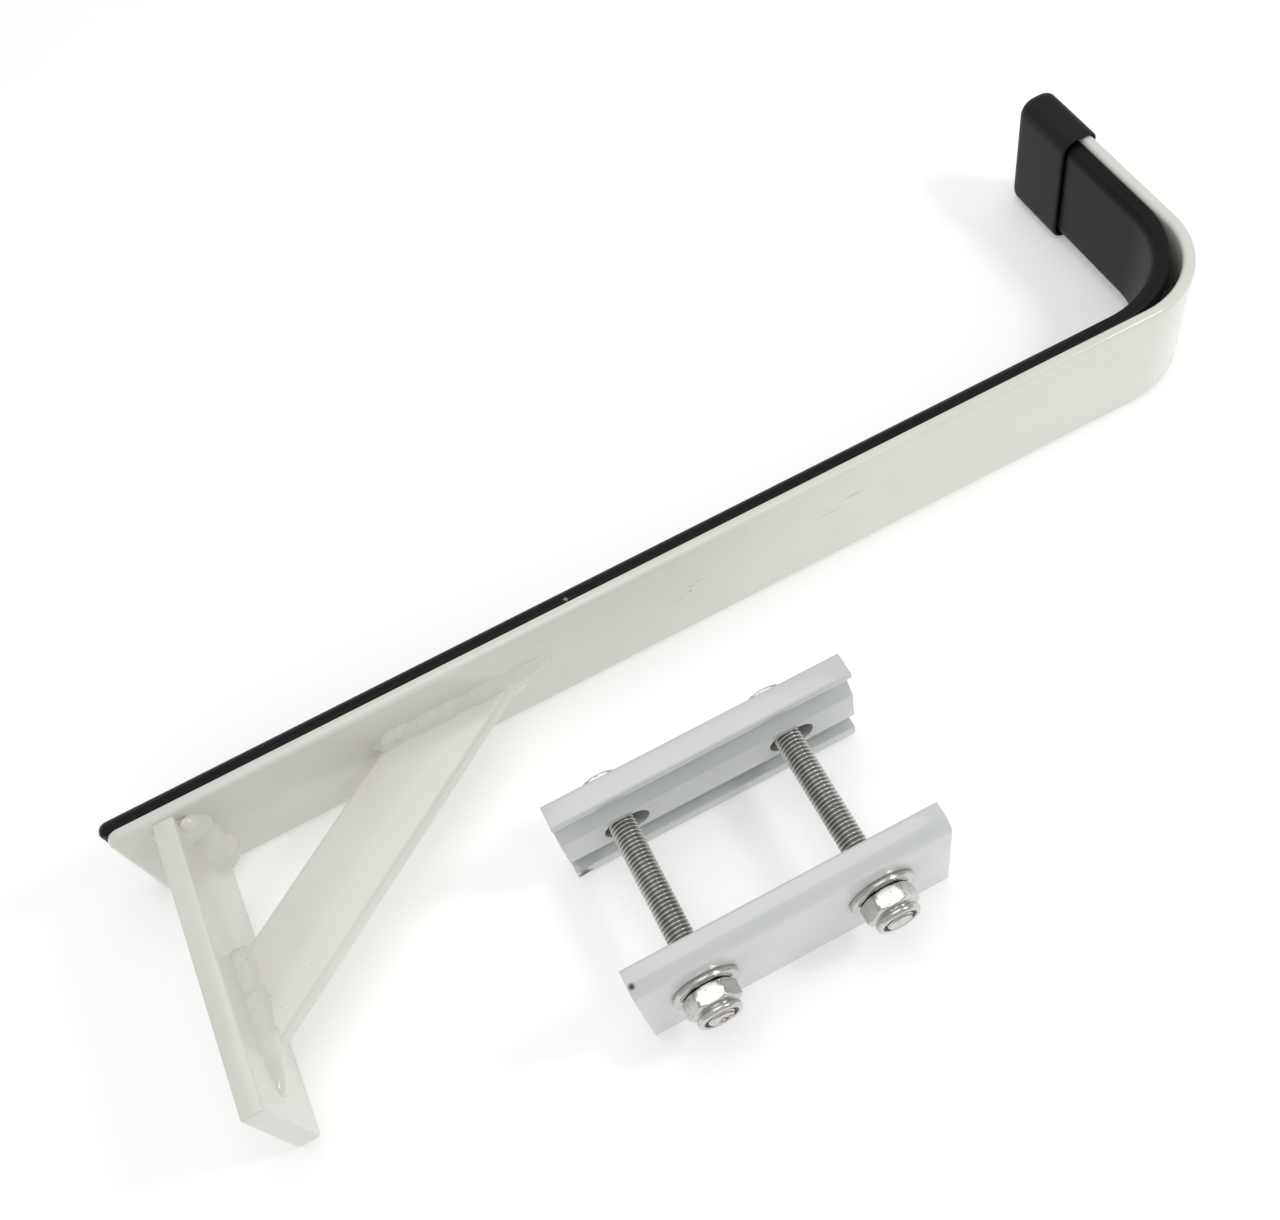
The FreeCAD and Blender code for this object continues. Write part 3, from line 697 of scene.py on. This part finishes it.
def roundCorners(points, steps=9):
    # each point is (y, z, radius); a corner with a radius becomes an arc tangent to both sides
    outline = []
    count = len(points)
    for index, (y, z, radius) in enumerate(points):
        corner = np.array([y, z])
        if radius == 0:
            outline.append(corner)
            continue
        before = np.array(points[index - 1][:2]) - corner
        after = np.array(points[(index + 1) % count][:2]) - corner
        before = before / np.linalg.norm(before)
        after = after / np.linalg.norm(after)
        halfAngle = 0.5 * math.acos(np.clip(np.dot(before, after), -1, 1))
        reach = radius / math.tan(halfAngle)
        bisector = (before + after) / np.linalg.norm(before + after)
        centre = corner + bisector * radius / math.sin(halfAngle)
        first = corner + before * reach - centre
        last = corner + after * reach - centre
        sweep = math.pi - 2 * halfAngle
        side = math.copysign(1, first[0] * last[1] - first[1] * last[0])
        for turn in np.linspace(0, sweep, steps) * side:
            outline.append(centre + np.array([
                first[0] * math.cos(turn) - first[1] * math.sin(turn),
                first[0] * math.sin(turn) + first[1] * math.cos(turn)]))
    return np.array(outline)


def plateOutline(thickness, topRound, lowRound):
    shape = plateShape
    depth = shape["depth"]
    return roundCorners([
        (0, 0, shape["lipRound"]), (0, shape["lowerLip"], 0.5 * mm),
        (depth, shape["lowerLip"], 0.4 * mm), (depth, shape["grooveTop"], 0.8 * mm),
        (0, shape["plateauLow"], 0.8 * mm), (0, shape["plateauHigh"], 0.8 * mm),
        (depth, shape["coveTop"], shape["coveRound"]), (depth, shape["upperLip"], 1.6 * mm),
        (0, shape["upperLip"], shape["lipSmallRound"]), (0, 50 * mm, shape["lipSmallRound"]),
        (thickness, 50 * mm, topRound), (thickness, 0, lowRound)])


def makeSlotCutter(name, left, low, high):
    # a prism with half-round ends, long enough to pass right through the plate
    turn = np.linspace(-0.5 * math.pi, 0.5 * math.pi, slotShape["steps"])
    halfRun = 0.5 * slotShape["straight"]
    x = np.concatenate([halfRun + slotShape["radius"] * np.cos(turn),
                        -halfRun - slotShape["radius"] * np.cos(turn)]) + left
    z = np.concatenate([slotShape["radius"] * np.sin(turn),
                        -slotShape["radius"] * np.sin(turn)]) + boltHeight
    rings = np.array([np.stack([x, np.full(len(x), y), z], axis=1) for y in (low, high)])
    return buildPiece(name, rings, clampCoat, flip=True)


def applyModifiers(piece):
    graph = bpy.context.evaluated_depsgraph_get()
    finished = bpy.data.meshes.new_from_object(piece.evaluated_get(graph))
    piece.modifiers.clear()
    piece.data = finished


def makePlate(name, low, high, inward, topRound, lowRound):
    outline = plateOutline(high.y - low.y, topRound, lowRound)
    base = low.y if inward > 0 else high.y
    xs = np.linspace(low.x, high.x, 12)
    rings = np.array([np.stack([np.full(len(outline), x), base + inward * outline[:, 0],
                                outline[:, 1] + low.z], axis=1) for x in xs])
    plate = buildPiece(name, rings, clampCoat, flip=inward > 0)
    for number, centre in enumerate(slotShape["centres"]):
        cutter = makeSlotCutter(name + "Cutter", low.x + centre, low.y - 5 * mm,
                                high.y + 5 * mm)
        cut = plate.modifiers.new("slot%d" % number, "BOOLEAN")
        cut.object = cutter
        cut.solver = "EXACT"
        applyModifiers(plate)
        bpy.data.objects.remove(cutter)
    bevel = plate.modifiers.new("easedEdges", "BEVEL")
    bevel.width = plateShape["edge"]
    bevel.segments = 3
    bevel.limit_method = "ANGLE"
    bevel.angle_limit = math.radians(42)
    applyModifiers(plate)
    plate.data.shade_smooth()
    plate.data.set_sharp_from_angle(angle=math.radians(40))
    return plate


backPlate = makePlate("backPlate", backLow, backHigh, 1, plateShape["smallRound"],
                      plateShape["round"])
settle(backPlate, "rear_jaw", "clamp_coat", "back_plate")
frontPlate = makePlate("frontPlate", frontLow, frontHigh, -1, plateShape["round"],
                       plateShape["smallRound"])
settle(frontPlate, "front_jaw", "clamp_coat", "front_plate")
print("plates made")


# fasteners: turned profiles, hexagons and a true helical thread

fastenerShape = {"around": 72, "flats": 8.5 * mm, "cornerRound": 9.72 * mm,
                 "pitch": 1.5 * mm, "major": 4.94 * mm, "minor": 4.1 * mm,
                 "headHeight": 6.4 * mm, "tip": 0.8 * mm, "perTurn": 8}


def aroundAngles():
    return np.arange(fastenerShape["around"]) / fastenerShape["around"] * 2 * math.pi


def hexRadius(limit):
    # across a hexagon the radius is flats / cos(angle from the nearest flat); a high power mean
    # eases it into the corner radius, and limit cuts it back as a cone would
    turn = aroundAngles() % (math.pi / 3) - math.pi / 6
    flat = fastenerShape["flats"] / np.cos(turn)
    eased = (flat ** -60 + fastenerShape["cornerRound"] ** -60.0) ** (-1 / 60)
    return np.minimum(eased, limit)


def turned(name, rows, x, y, material, closeEnds, sharpAngle=35.0):
    # rows are (radius at each angle or one number, height along the bolt towards -Y)
    turn = aroundAngles()
    rings = np.array([np.stack([x + radius * np.cos(turn),
                                np.full(len(turn), y) - height,
                                boltHeight + radius * np.sin(turn)], axis=1)
                      for radius, height in rows])
    return buildPiece(name, rings, material, closeEnds, sharpAngle)


def markRoots(piece, values):
    attribute = piece.data.attributes.new("rootDepth", "FLOAT", "POINT")
    attribute.data.foreach_set("value", values.astype(np.float32))


def boltRows(length):
    # head from its crown to the bearing face, then the thread, then the eased tip; the thread's
    # radius is minor + (major - minor) times a clipped cosine of height / pitch - turn
    shape = fastenerShape
    rows = [(0.6 * mm, 0.0), (5.2 * mm, 0.0), (7.8 * mm, 0.0)]
    for share in np.linspace(0, 1, 5):
        rows.append((hexRadius(8.2 * mm + share * 1.7 * mm), (0.1 + 0.9 * share) * mm))
    rows += [(hexRadius(9.9 * mm), 0.5 * shape["headHeight"]),
             (hexRadius(9.9 * mm), shape["headHeight"] - 0.35 * mm),
             (hexRadius(9.3 * mm), shape["headHeight"] - 0.05 * mm),
             (8.1 * mm, shape["headHeight"]), (shape["major"] - 0.1 * mm, shape["headHeight"])]
    roots = [np.zeros(shape["around"]) for item in rows]
    turn = aroundAngles() / (2 * math.pi)
    heights = np.arange(shape["headHeight"] + 0.2 * mm, length,
                        shape["pitch"] / shape["perTurn"])
    for height in heights:
        # right-hand helix: the crest climbs one pitch for each turn
        wave = 0.5 + 0.5 * np.cos(2 * math.pi * (height / shape["pitch"] - turn))
        crest = np.clip(1.35 * wave - 0.1, 0, 1)
        taper = np.clip((length - height) / shape["tip"], 0, 1)
        radius = shape["minor"] + (shape["major"] - shape["minor"]) * crest
        limit = shape["major"] - 0.75 * mm * (1 - taper)
        rows.append((np.minimum(radius, limit), height))
        roots.append(1 - crest)
    face = shape["major"] - 0.78 * mm
    rows += [(face, length), (0.5 * face, length), (0.4 * mm, length)]
    roots += [np.zeros(shape["around"])] * 3
    return rows, np.concatenate(roots)


def nutRows():
    # a closed loop: bearing face, chamfered hexagon, neck, rolled collar, ring seat, bore
    rows = [(5.5 * mm, 0.0), (7.9 * mm, 0.0)]
    for share in np.linspace(0, 1, 4):
        rows.append((hexRadius((8.2 + 1.7 * share) * mm), (0.06 + 0.9 * share) * mm))
    rows.append((hexRadius(9.9 * mm), 3.5 * mm))
    for share in np.linspace(0, 1, 6):
        rows.append((hexRadius((9.9 - 1.9 * share) * mm), (5.7 + 1.15 * share) * mm))
    rows += [(7.72 * mm, 6.98 * mm), (7.55 * mm, 7.15 * mm), (7.6 * mm, 7.35 * mm)]
    for turn in np.linspace(-0.35, 0.92, 12) * 0.5 * math.pi:
        rows.append(((6.75 + 1.32 * math.cos(turn)) * mm, (8.62 + 1.36 * math.sin(turn)) * mm))
    rows += [(6.35 * mm, 9.9 * mm), (6.12 * mm, 9.72 * mm), (6.1 * mm, 9.5 * mm),
             (6.42 * mm, 9.4 * mm), (6.42 * mm, 7.5 * mm), (5.02 * mm, 7.45 * mm),
             (5.02 * mm, 0.5 * mm)]
    return rows


def washerRows():
    # a closed loop of (radius, height): bore, bearing face, eased rim, outer face
    return [(5.26 * mm, 0.1 * mm), (5.4 * mm, 0.0), (11.6 * mm, 0.0), (11.88 * mm, 0.12 * mm),
            (11.99 * mm, 0.45 * mm), (11.97 * mm, 1.4 * mm), (11.8 * mm, 1.82 * mm),
            (11.45 * mm, 1.98 * mm), (5.5 * mm, 1.98 * mm), (5.26 * mm, 1.85 * mm)]


def ringRows():
    # a closed loop of (radius, height): bore, seat, wall and a rounded crown
    return [(5.03 * mm, 0.0), (6.38 * mm, 0.0), (6.38 * mm, 1.75 * mm), (6.2 * mm, 2.0 * mm),
            (5.7 * mm, 2.1 * mm), (5.2 * mm, 1.95 * mm), (5.03 * mm, 1.7 * mm)]


def makeFasteners(side, x):
    boltLow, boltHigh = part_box("bolt_" + side)
    rows, roots = boltRows(boltHigh.y - boltLow.y)
    bolt = turned(side + "Bolt", rows, x, boltHigh.y, stainless, True, 80.0)
    markRoots(bolt, roots)
    settle(bolt, side + "_bolt", "stainless", "bolt_" + side)
    for name, node, body in (("HeadWasher", "head_washer_", "_bolt"),
                             ("NutWasher", "nut_washer_", "_washer")):
        washer = turned(side + name, washerRows(), x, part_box(node + side)[1].y,
                        stainless, False)
        settle(washer, side + body, "stainless", node + side)
    nut = turned(side + "Nut", nutRows(), x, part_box("nut_" + side)[1].y, stainless, False)
    settle(nut, side + "_nut", "stainless", "nut_" + side)
    ring = turned(side + "NylonRing", ringRows(), x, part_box("nylon_ring_" + side)[1].y,
                  blackNylon, False)
    settle(ring, side + "_nut", "black_nylon", "nylon_ring_" + side)


makeFasteners("left", boltLeftX)
makeFasteners("right", boltRightX)
print("fasteners made")


# floor, light and camera

studio = {
    "floorSize": 40.0, "floorColour": (0.93, 0.93, 0.93, 1),
    "floorTint": (0.945, 0.945, 0.945, 1), "floorGlow": 0.24, "sky": 0.60,
    "lamps": [
        {"at": (-0.05, 0.15, 1.35), "aim": (0, 0, 0), "size": 1.1, "power": 4.2},
        {"at": (0.60, -0.28, 0.66), "aim": (0.1, 0, 0), "size": 0.16, "power": 1.3},
    ],
}
cameraLook = {"at": (-0.07445, -0.25190, 0.46564), "turn": (30.200, 9.317, -25.868),
              "lens": 38.654, "sensor": 36.0, "near": 0.01, "far": 30.0}


def makeStudio():
    half = 0.5 * studio["floorSize"]
    mesh = bpy.data.meshes.new("floor")
    mesh.from_pydata([(-half, -half, 0), (half, -half, 0), (half, half, 0), (-half, half, 0)],
                     [], [(0, 1, 2, 3)])
    material, shader, place = newFinish("floorPaper", {"Roughness": 0.9,
                                                       "Emission Strength": studio["floorGlow"],
                                                       "Emission Color": (1, 1, 1, 1)})
    feed(shader, "Base Color", place.noise(3.0).blend(studio["floorColour"],
                                                      studio["floorTint"]))
    mesh.materials.append(material)
    floor = bpy.data.objects.new("floor", mesh)
    bpy.context.scene.collection.objects.link(floor)
    world = bpy.data.worlds.new("studioSky")
    bpy.context.scene.world = world
    world.use_nodes = True
    sky = world.node_tree.nodes["Background"]
    sky.inputs["Color"].default_value = (1, 1, 1, 1)
    sky.inputs["Strength"].default_value = studio["sky"]
    for number, lamp in enumerate(studio["lamps"]):
        light = bpy.data.lights.new("lamp%d" % number, "AREA")
        light.shape = "DISK"
        light.size = lamp["size"]
        light.energy = lamp["power"]
        holder = bpy.data.objects.new("lamp%d" % number, light)
        holder.location = lamp["at"]
        aim = np.array(lamp["aim"]) - np.array(lamp["at"])
        holder.rotation_euler = (
            math.atan2(math.hypot(aim[0], aim[1]), -aim[2]), 0,
            math.atan2(aim[1], aim[0]) - 0.5 * math.pi)
        bpy.context.scene.collection.objects.link(holder)


def makeCamera():
    lens = bpy.data.cameras.new("camera")
    lens.lens = cameraLook["lens"]
    lens.sensor_width = cameraLook["sensor"]
    lens.clip_start = cameraLook["near"]
    lens.clip_end = cameraLook["far"]
    camera = bpy.data.objects.new("camera", lens)
    camera.location = cameraLook["at"]
    camera.rotation_euler = [math.radians(angle) for angle in cameraLook["turn"]]
    bpy.context.scene.collection.objects.link(camera)
    bpy.context.scene.camera = camera


makeStudio()
makeCamera()
bpy.context.scene.view_settings.view_transform = "Standard"

print("scene ready")
